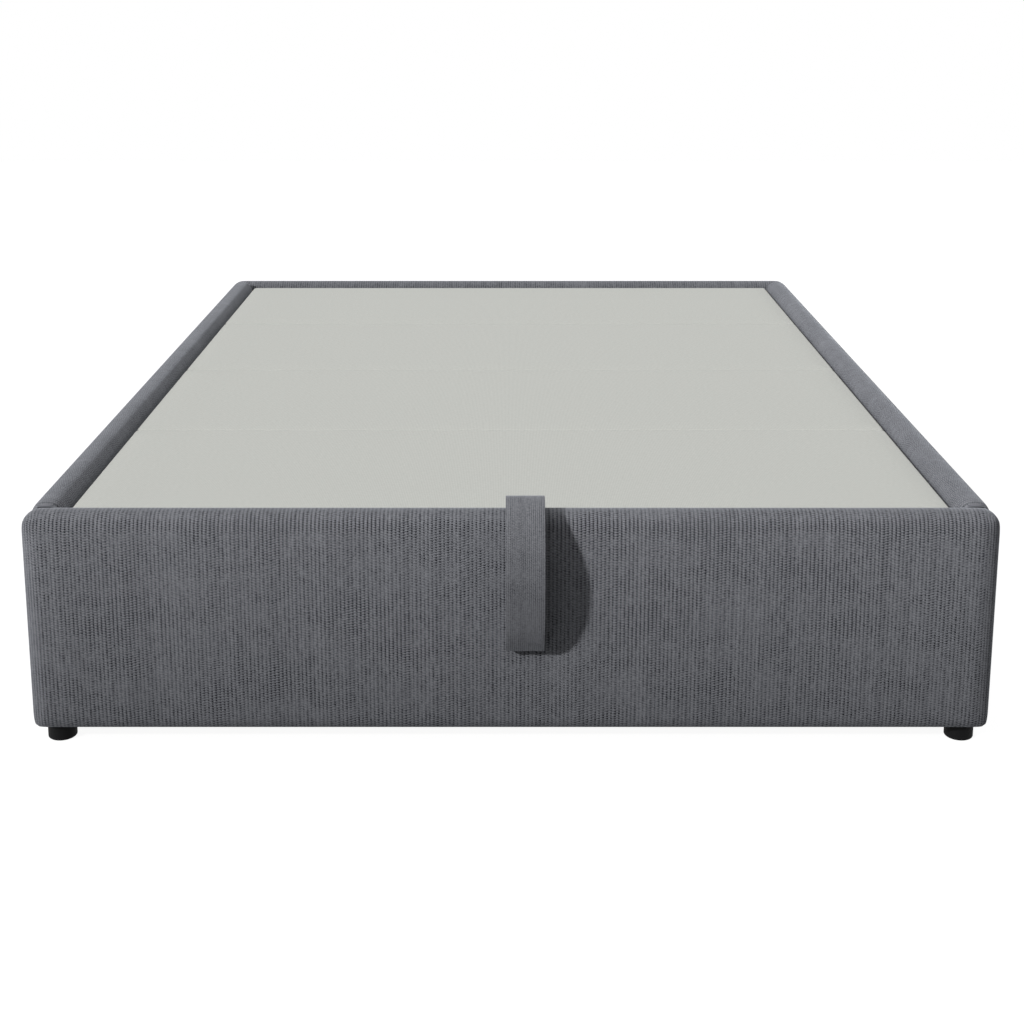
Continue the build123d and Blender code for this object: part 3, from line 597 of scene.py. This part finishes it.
def profile_length(across, height, low, high, top):
    """The tape's length up one side of the rail, over its top and down the other side."""
    radius = rail_top_radius
    spring = top - radius
    near, far = low + radius, high - radius
    up_angle = np.arctan2(height - spring, near - across)
    over_angle = np.arctan2(across - far, height - spring)
    front_arc = spring + radius * np.clip(up_angle, 0, quarter_turn)
    flat_top = spring + radius * quarter_turn + (across - near)
    over = spring + radius * quarter_turn + (far - near)
    back_arc = over + radius * np.clip(over_angle, 0, quarter_turn)
    back = over + radius * quarter_turn + (spring - height)
    upright = np.where(across < (low + high) / 2, height, back)
    rounded = np.where(across < near, front_arc, np.where(across > far, back_arc, flat_top))
    return np.where(height <= spring, upright, rounded)


def end_length(along, across, outer, face, radius):
    """The tape's length along the rail and round its upright outer corner."""
    reach = np.abs(along)
    centre = outer - radius
    turn = np.arctan2(reach - centre, np.maximum(face + radius - across, least))
    corner = centre + radius * np.clip(turn, 0, quarter_turn)
    past = centre + radius * quarter_turn + (across - face - radius)
    length = np.where(reach < centre, reach, np.where(across < face + radius, corner, past))
    return np.sign(along) * length


print("tape measures ready")


# %% Cloth map of a rail
def cloth_map(piece, cross, face, back, outer, top, end_radius, corner_radius):
    """Writes the UV map 'cloth', in metres, face by face, for a cross rail or a side rail."""
    mesh = piece.data
    points = places_of(piece)
    length_axis, depth_axis = (0, 1) if cross else (1, 0)
    sign = 1.0 if back > face else -1.0
    along, height = points[:, length_axis], points[:, 2]
    depth = points[:, depth_axis] * sign
    low, high = face * sign, back * sign
    climb = profile_length(depth, height, low, high, top)
    round_end = end_length(along, depth, outer, low, corner_radius)
    reach, end, level = np.abs(along), outer - end_radius, top - end_radius
    lean = np.arctan2(reach - end, np.maximum(height - level, least))
    rise = np.arctan2(height - level, np.maximum(reach - end, least))
    end_arc = np.sign(along) * (end + end_radius * np.clip(lean, 0, quarter_turn))
    over_end = np.where(reach > end, end_arc, along)
    end_climb = np.where(height > level,
                         level + end_radius * np.clip(rise, 0, quarter_turn), height)
    face_count = len(mesh.polygons)
    normals = np.zeros(face_count * 3)
    mesh.polygons.foreach_get("normal", normals)
    normals = np.abs(normals.reshape(-1, 3))
    n_along, n_across, n_up = normals[:, length_axis], normals[:, depth_axis], normals[:, 2]
    on_top = n_up > np.maximum(n_along, n_across)
    corners = np.zeros(face_count, dtype=np.int64)
    mesh.polygons.foreach_get("loop_total", corners)
    on_top = np.repeat(on_top, corners)
    on_end = np.repeat(n_along > n_across, corners) & ~on_top
    point_of = np.zeros(len(mesh.loops), dtype=np.int64)
    mesh.loops.foreach_get("vertex_index", point_of)
    u = np.where(on_top, over_end[point_of], round_end[point_of])
    v = np.where(on_end, end_climb[point_of], climb[point_of])
    layer = mesh.uv_layers.new(name="cloth")
    layer.data.foreach_set("uv", np.stack([u, v], 1).ravel())
    mesh.uv_layers.active = layer


print("cloth map ready")

# %% [markdown]
# ## The four padded rails
# The foot rail and the head rail run the whole width, and the side rails butt against their backs.
# The cloth is stapled inside, so on the inner face a wide bare window shows the board: it is cut
# last, because the remesh would blur its edge.

# %% One padded rail
window_depth = 0.0021
window_clear = 0.04
window_bottom = rail_bottom + 0.0015
window_top = 0.290
cross_window_half = inner_half_width + 0.0015
side_window_half = inner_half_length + 0.004
held_strip = 0.012
end_fade = 0.06
face_start = 0.020
face_fade = 0.03
crown_shape = 0.8
# A side rail has no rounded ends: their place is out of reach and their radius too small to see.
no_end = 5.0
sharp = 0.001


def share_of(value, start, width):
    """0 up to a start, then rising to 1 over a width."""
    return min(1.0, max(0.0, (value - start) / width))


def free_cloth(point):
    """1 in the middle of the rails' outer faces, falling to 0 at the floor edge, at the rounded
    top and at the joints: the crown of a foam pad under cloth."""
    free_height = rail_top - held_strip - rail_bottom
    lift = math.sin(math.pi * share_of(point[2], rail_bottom, free_height)) ** crown_shape
    inside = max(abs(point[0]) - inner_half_width, abs(point[1]) - inner_half_length)
    near_end = 1.0
    if abs(point[1]) > inner_half_length:
        near_end = share_of(outer_half_width - held_strip - abs(point[0]), 0.0, end_fade)
    return lift * near_end * share_of(inside, face_start, face_fade)


def box_corners(cross, half_run, depths, bottom, top):
    """The corners of a box that runs along x in a cross rail and along y in a side rail."""
    spans = [(-half_run, half_run), sorted(depths)]
    return tuple(zip(*(spans if cross else spans[::-1]), (bottom, top)))


def make_rail(name, side, cross, top, voxel, end_radius=sharp):
    """A padded rail on one side of the bed, with its cloth map and window."""
    outer, inner, half_run, window_half = (
        (outer_half_length, inner_half_length, outer_half_width, cross_window_half) if cross
        else (outer_half_width, inner_half_width, inner_half_length, side_window_half))
    low, high = box_corners(cross, half_run - clearance,
                            (side * (outer - slim), side * (inner + clearance)),
                            rail_bottom, top - top_clearance)
    section = (rail_low_radius, rail_top_radius)
    plan = (inner_corner_radius, outer_corner_radius if cross else inner_corner_radius)
    outlines = [(0, section), (1, (rail_low_radius, end_radius)), (2, plan[::side])]
    rail = rail_shape(f"{name}_upholstery", low, high,
                      outlines if cross else [(1, section), (2, plan)])
    padded_form(rail, voxel, 4.0, slim, free_cloth)
    cloth_map(rail, cross, side * outer, side * inner, half_run if cross else no_end, top,
              end_radius, outer_corner_radius if cross else sharp)
    window = box_piece("window", *box_corners(
        cross, window_half, (side * (inner + window_depth), side * (inner - window_clear)),
        window_bottom, window_top))
    boolean(rail, window, "DIFFERENCE")
    rail.data.materials.clear()
    rail.data.materials.append(rail_cloth)
    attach(rail, "base")
    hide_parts(f"{name}_cover", f"{name}_padding")
    print(rail.name, len(rail.data.polygons), "faces")


print("rail maker ready")

# %% Four padded rails
make_rail("foot_rail", -1, True, rail_top, 0.009, foot_end_radius)
make_rail("head_rail", 1, True, head_rail_top, 0.009, head_end_radius)
make_rail("left_rail", -1, False, rail_top, 0.010)
make_rail("right_rail", 1, False, rail_top, 0.010)

# %% [markdown]
# ## The deck panels
# Each panel is a board with a thin sheet of foam, wrapped in pale cloth that is stapled underneath,
# so a hem runs round its underside and the bare board shows inside it. One panel is modelled and
# copied four times. It is cut into an even grid, so that it can swell a little like the rails.

# %% One deck panel
panel_half_width = 0.765
panel_pitch = 0.5075
panel_half_length = (panel_pitch - 0.001) / 2
panel_top = 0.407
panel_bottom = 0.383
panel_corner = 0.008
panel_rim = 0.005
a_hair = 0.0001


def slice_mesh(axis, half, count):
    """Cuts the mesh in edit mode into equal slices along an axis."""
    for number in range(1, count):
        place, normal = [0, 0, 0], [0, 0, 0]
        place[axis] = -half + number * 2 * half / count
        normal[axis] = 1
        bpy.ops.mesh.select_all(action="SELECT")
        bpy.ops.mesh.bisect(plane_co=place, plane_no=normal)


def on_rim(point):
    """True on the outline of the panel's top."""
    x, y = abs(point.x), abs(point.y)
    if point.z <= panel_top - a_hair:
        return False
    if x > panel_half_width - a_hair or y > panel_half_length - a_hair:
        return True
    corner_x, corner_y = x - panel_half_width + panel_corner, y - panel_half_length + panel_corner
    return (corner_x > 0 and corner_y > 0
            and math.hypot(corner_x, corner_y) > panel_corner - 5 * a_hair)


panel = box_piece("deck_panel", (-panel_half_width, -panel_half_length, panel_bottom),
                  (panel_half_width, panel_half_length, panel_top))
select_edges(panel, lambda a, b: abs(a.z - b.z) > 0.01)
bpy.ops.mesh.bevel(offset=panel_corner, segments=4, profile=0.5)
slice_mesh(0, panel_half_width, 36)
slice_mesh(1, panel_half_length, 12)
leave_edit()
select_edges(panel, lambda a, b: on_rim(a) and on_rim(b))
bpy.ops.mesh.bevel(offset=panel_rim, segments=4, profile=0.5)
leave_edit()
print("panel grid", len(panel.data.polygons), "faces")

# %% Hem, recess and crown of the panel
hem_width = 0.045
board_recess = 0.002
crown_cap = 0.0015
select_edges(panel, lambda a, b: False)
bpy.ops.mesh.select_mode(type="FACE")
shape = bmesh.from_edit_mesh(panel.data)
for face in shape.faces:
    face.select_set(face.normal.z < -0.9)
bmesh.update_edit_mesh(panel.data)
bpy.ops.mesh.inset(thickness=hem_width, depth=0)
bpy.ops.mesh.inset(thickness=board_recess / 2, depth=-board_recess)
leave_edit()
rest = places_of(panel)
stapled = [v.index for v in panel.data.vertices if v.co.z < panel_top - 0.006]
panel.vertex_groups.new(name="stapled").add(stapled, 1.0, "REPLACE")
shift = swell(panel, 2.0, vertex_group_mass="stapled")
shift[:, :2] = 0
shift[:, 2] = np.clip(shift[:, 2], 0, crown_cap)
shift[rest[:, 2] < panel_top - 0.0005] = 0
panel.data.vertices.foreach_set("co", (rest + shift).ravel())
print("panel crowned by", round(float(shift[:, 2].max()) * 1000, 2), "mm")
panel.data.shade_smooth()

# %% [markdown]
# The panel's cloth is mapped from straight above, and on its narrow sides the cloth's length runs
# on downwards. Then the panel is copied to its four places, each copy with a mesh of its own. Each
# copy's cloth starts elsewhere on the roll, so that no two panels show the same threads.

# %% Cloth map and four copies
deck_middle = -0.004
step_on_the_roll = 0.137


def panel_cloth_map(piece, start):
    """The UV map 'cloth' in metres, seen from above and unrolled down the sides."""
    mesh = piece.data
    layer = mesh.uv_layers.new(name="cloth")
    for face in mesh.polygons:
        normal = face.normal
        for loop in face.loop_indices:
            point = mesh.vertices[mesh.loops[loop].vertex_index].co
            drop = panel_top - point.z
            u, v = point.x, point.y
            if abs(normal.z) < 0.7:
                if abs(normal.x) > abs(normal.y):
                    u += math.copysign(drop, normal.x)
                else:
                    v += math.copysign(drop, normal.y)
            layer.data[loop].uv = (u, v + start)
    mesh.uv_layers.active = layer


for number in range(4):
    middle = deck_middle + (number - 1.5) * panel_pitch
    copy = bpy.data.objects.new(f"deck_panel_upholstery_{number + 1}", panel.data.copy())
    bpy.context.scene.collection.objects.link(copy)
    copy.data.transform(Matrix.Translation((0, middle, 0)))
    panel_cloth_map(copy, step_on_the_roll * number)
    copy.data.materials.clear()
    copy.data.materials.append(deck_cloth)
    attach(copy, "platform")
    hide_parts(f"deck_cover_{number + 1}", *(["deck_padding"] if number == 0 else []))
bpy.data.objects.remove(panel)
print("four deck panels")

# %% [markdown]
# ## The lift strap
# The strap is a plain band of the rails' cloth, folded and sewn flat. Its two tails are clamped
# under the platform's front tube. It comes up through the gap behind the foot rail, bows out over
# the rail, folds back and returns into the gap. It is modelled directly: its path is laid as a
# curve, widened by extruding and thickened, because a remesh would erase so thin a band.

# %% Helpers for the strap's path
def straight(first, last, steps):
    """Points between two ends, without the last."""
    return [tuple(np.array(first) + (np.array(last) - np.array(first)) * n / steps)
            for n in range(steps)]


def arc(centre, radius, first, last, steps):
    """Points on an arc in the y-z plane, angles in degrees."""
    angles = [math.radians(first + (last - first) * n / steps) for n in range(steps + 1)]
    return [(centre[0] + radius * math.cos(angle), centre[1] + radius * math.sin(angle))
            for angle in angles]


def spline(points, first_heading, last_heading, steps):
    """A smooth line through the points, by Hermite pieces with chord-length tangents."""
    points = [np.array(point) for point in points]
    chords = [float(np.linalg.norm(b - a)) for a, b in zip(points, points[1:])]
    tangents = [np.array(first_heading)]
    for number in range(1, len(points) - 1):
        before, after = chords[number - 1], chords[number]
        slope = ((points[number] - points[number - 1]) / before * after
                 + (points[number + 1] - points[number]) / after * before) / (before + after)
        tangents.append(slope)
    tangents.append(np.array(last_heading))
    line = []
    for number, chord in enumerate(chords):
        for step in range(steps):
            t = step / steps
            line.append(tuple((2 * t**3 - 3 * t**2 + 1) * points[number]
                              + (t**3 - 2 * t**2 + t) * chord * tangents[number]
                              + (3 * t**2 - 2 * t**3) * points[number + 1]
                              + (t**3 - t**2) * chord * tangents[number + 1]))
    return line + [tuple(points[-1])]


print("strap helpers ready")

# %% [markdown]
# Both legs of the strap run forward from the clamp, round a bend and up the gap behind the foot
# rail. The outer leg then bows out over the rail's face: its points are shares of how far the bow
# stands out and hangs down. A tight fold turns it back, and the inner leg climbs the face and the
# rounded top, close to the rail.

# %% Path of the strap
clamp_end = -0.985
outer_tail = 0.3515
inner_tail = 0.3485
bend_centre = (-1.011, 0.3615)
outer_leg = -1.021
inner_leg = -1.024
gap_top = 0.406
bow_top = (-1.0585, 0.4488)
bow_reach = 0.067
bow_drop = 0.237
bow_shares = ((0.39, -0.03), (0.80, 0.135), (1.0, 0.375), (0.85, 0.70), (0.597, 0.882))
fold_centre = (-1.105, 0.203)
fold_start = (-1.1142, 0.1953)
fold_end = (-1.0937, 0.2071)
climb_middle = (-1.106, 0.2858)
climb_end = (-1.093, 0.398)
over_radius = 0.032
over_front = (-1.061, 0.398)
over_back = (-1.056, 0.398)
bow = [(outer_leg, gap_top), bow_top]
bow += [(-outer_half_length - bow_reach * out, rail_top - bow_drop * down)
        for out, down in bow_shares]
bow += [fold_start]
path = straight((clamp_end, outer_tail), (bend_centre[0], outer_tail), 3)
path += arc(bend_centre, 0.010, 270, 180, 8)
path += straight((outer_leg, 0.367), (outer_leg, gap_top), 5)
path += spline(bow, (0, 1), (0.643, -0.766), 8)[:-1]
path += arc(fold_centre, 0.012, -140, 20, 14)[:-1]
path += spline([fold_end, climb_middle, climb_end], (-0.342, 0.940), (0, 1), 12)[:-1]
path += arc(over_front, over_radius, 180, 90, 10)
path += arc(over_back, over_radius, 90, 0, 10)
path += straight((inner_leg, 0.3935), (inner_leg, bend_centre[1]), 4)
path += arc(bend_centre, 0.013, 180, 270, 8)
path += [(-1.003, inner_tail), (-0.994, inner_tail), (clamp_end, inner_tail)]
steps_walked = [math.dist(a, b) for a, b in zip(path, path[1:])]

# %% Lay the path and widen it
strap_left = -0.0085
strap_thickness = 0.0024
strap_columns = (0.0015, 0.0035, 0.009, 0.013, 0.012, 0.013, 0.009, 0.0035, 0.0015)
bpy.ops.object.select_all(action="DESELECT")
bpy.ops.curve.primitive_nurbs_path_add()
strap = bpy.context.object
strap.name = "lift_strap_band"
strap.data.splines.clear()
line = strap.data.splines.new("POLY")
line.points.add(len(path) - 1)
for point, (y, z) in zip(line.points, path):
    point.co = (strap_left, y, z, 1)
strap.location = (0, 0, 0)
bpy.ops.object.convert(target="MESH")
bpy.ops.object.transform_apply(location=True, rotation=True, scale=True)
bpy.ops.object.mode_set(mode="EDIT")
bpy.ops.mesh.select_mode(type="EDGE")
for width in strap_columns:
    bpy.ops.mesh.select_all(action="DESELECT")
    shape = bmesh.from_edit_mesh(strap.data)
    reach = max(vertex.co.x for vertex in shape.verts)
    for edge in shape.edges:
        edge.select_set(all(abs(vertex.co.x - reach) < 1e-5 for vertex in edge.verts))
    bmesh.update_edit_mesh(strap.data)
    bpy.ops.mesh.extrude_edges_move(TRANSFORM_OT_translate={"value": (width, 0, 0)})
leave_edit()
print("strap band", len(strap.data.polygons), "faces")

# %% Map, thicken and finish the strap
walked = np.concatenate([[0], np.cumsum(steps_walked)])
stations = np.array(path)
layer = strap.data.uv_layers.new(name="cloth")
for face in strap.data.polygons:
    for loop in face.loop_indices:
        point = strap.data.vertices[strap.data.loops[loop].vertex_index].co
        nearest = int(np.argmin(np.hypot(stations[:, 0] - point.y, stations[:, 1] - point.z)))
        layer.data[loop].uv = (point.x - strap_left, walked[nearest])
apply_modifier(strap, "SOLIDIFY", thickness=strap_thickness, offset=0)
apply_modifier(strap, "BEVEL", width=0.0009, segments=2, limit_method="ANGLE",
               angle_limit=math.radians(50))
bpy.ops.object.mode_set(mode="EDIT")
bpy.ops.mesh.select_all(action="SELECT")
bpy.ops.mesh.normals_make_consistent(inside=False)
leave_edit()
strap.data.shade_smooth()
strap.data.materials.append(strap_cloth)
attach(strap, "platform")
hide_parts("lift_strap")
print("strap", len(strap.data.polygons), "faces")

# %% [markdown]
# ## The hard parts under the cloth
# Apart from the feet, they are only seen when the bed is open. Each slot of the CAD record gets one
# finish: pine with its grain along the board, plywood, powder-coated tube, zinc-plated brackets and
# screws, chrome and black paint on the gas struts, and matt plastic and rubber.

# %% Wood grain group
kit, given, grain_masks = new_group("wood grain", {"Place": None, "Ring Size": 40.0},
                                    ("Grain", "Pores", "Figure"))
wood_grain, place = kit.tree, given["Place"]
rings_crossed = 9.0
warped = kit.vectors("MULTIPLY_ADD", kit.noise(place, 3.0, 3), (0.02, 0.02, 0.02), place)
rings = kit.noise(warped, given["Ring Size"], 1)
rings = kit.maths("SINE", kit.maths("MULTIPLY", rings, rings_crossed * math.tau))
grain = kit.maths("SUBTRACT", kit.levels(rings, 0.24, 0.10), 0.20)
grain = kit.levels(kit.noise(place, 170, 4, 0.6), 1.1, grain, clamp=True)
kit.fill(grain_masks, {"Grain": grain, "Pores": kit.noise(place, 900),
                       "Figure": kit.noise(place, 6)})
print("wood grain has", len(kit.nodes), "nodes")


# %% Three woods
def wood(name, along, pale, dark, ring_size):
    """Timber with its grain along one axis."""
    material, kit, shader = new_material(name)
    squeeze = [1.0, 1.0, 1.0]
    squeeze[along] = 0.045
    place = kit.vectors("MULTIPLY", kit.add("TexCoord", {}).outputs["Object"], squeeze)
    masks = kit.add("Group", {"Place": place, "Ring Size": ring_size},
                    node_tree=wood_grain).outputs
    base = kit.mix(masks["Grain"], opaque(*pale), opaque(*dark))
    base = kit.mix(kit.between(masks["Pores"], 0.0, 0.25), base, opaque(*dark))
    kit.fill(shader, {"Base Color": base, "Roughness": kit.between(masks["Figure"], 0.55, 0.75),
                      "Normal": kit.relief(masks["Pores"], 0.15, 0.0003)})
    return material


pine = {"pale": (0.60, 0.42, 0.24), "dark": (0.47, 0.29, 0.14), "ring_size": 9}
pine_x = wood("pine_along_x", 0, **pine)
pine_y = wood("pine_along_y", 1, **pine)
plywood = wood("birch_plywood", 0, (0.62, 0.48, 0.32), (0.50, 0.36, 0.22), 4)
print("three woods")

# %% Surface wear group
kit, given, wear_masks = new_group("surface wear", {"Place": None, "Grain Size": 900.0},
                                   ("Grain", "Smudge", "Scratch"))
surface_wear, place = kit.tree, given["Place"]
scratches = kit.noise(place, 500, 3, stretch=(1.0, 0.08, 0.4))
kit.fill(wear_masks, {"Grain": kit.noise(place, given["Grain Size"]),
                      "Smudge": kit.noise(place, 22, 3),
                      "Scratch": kit.levels(scratches, 5.0, -2.6, clamp=True)})
print("surface wear has", len(kit.nodes), "nodes")


# %% Metal, paint, plastic and rubber
def hard_finish(name, colour, worn, metallic, rough, grain_size, bump, gloss=0.5):
    """A paint, plating or plastic: grain gives relief, scratches and smudges show the worn
    colour, and smudges change the gloss as well."""
    material, kit, shader = new_material(name)
    place = kit.add("TexCoord", {}).outputs["Object"]
    masks = kit.add("Group", {"Place": place, "Grain Size": grain_size},
                    node_tree=surface_wear).outputs
    worn = opaque(*worn)
    base = kit.mix(kit.between(masks["Scratch"], 0.0, 0.5), opaque(*colour), worn)
    base = kit.mix(kit.between(masks["Smudge"], 0.0, 0.25), base, worn)
    kit.fill(shader, {"Base Color": base, "Roughness": kit.between(masks["Smudge"], *rough),
                      "Normal": kit.relief(masks["Grain"], bump, 0.0003),
                      "Metallic": metallic, "Specular IOR Level": gloss})
    return material


finishes = {
    "plywood": plywood,
    "tube_paint": hard_finish("dark_powder_coat", (0.030, 0.031, 0.034), (0.055, 0.056, 0.060),
                              0.0, (0.35, 0.55), 700, 0.35),
    "bracket_steel": hard_finish("zinc_plated_steel", (0.52, 0.53, 0.54), (0.40, 0.41, 0.43),
                                 1.0, (0.30, 0.50), 260, 0.12),
    "fastener_steel": hard_finish("bright_zinc", (0.60, 0.60, 0.58), (0.46, 0.46, 0.45),
                                  1.0, (0.22, 0.40), 600, 0.10),
    "strut_chrome": hard_finish("polished_chrome", (0.75, 0.76, 0.78), (0.62, 0.63, 0.65),
                                1.0, (0.05, 0.14), 1200, 0.03),
    "strut_paint": hard_finish("black_strut_paint", (0.018, 0.018, 0.019), (0.040, 0.040, 0.042),
                               0.0, (0.25, 0.42), 900, 0.15),
    "foot_plastic": hard_finish("matt_black_plastic", (0.005, 0.005, 0.0055),
                                (0.009, 0.009, 0.0095), 0.0, (0.60, 0.72), 1100, 0.30, gloss=0.10),
    "bumper_rubber": hard_finish("black_rubber", (0.015,), (0.030,), 0.0, (0.70, 0.85), 800, 0.25),
}
print(len(finishes), "finishes")

# %% Give each CAD node its finish
lengthwise = ("left_rail_board", "right_rail_board", "left_ledger", "right_ledger", "centre_beam")
counts = {}
for name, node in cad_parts.items():
    if node.hide_render:
        continue
    for part in node.material_slots:
        slot_name = part.material.name
        if slot_name == "board_wood":
            part.material = pine_y if name in lengthwise else pine_x
        else:
            part.material = finishes[slot_name]
        counts[part.material.name] = counts.get(part.material.name, 0) + 1
print(counts)
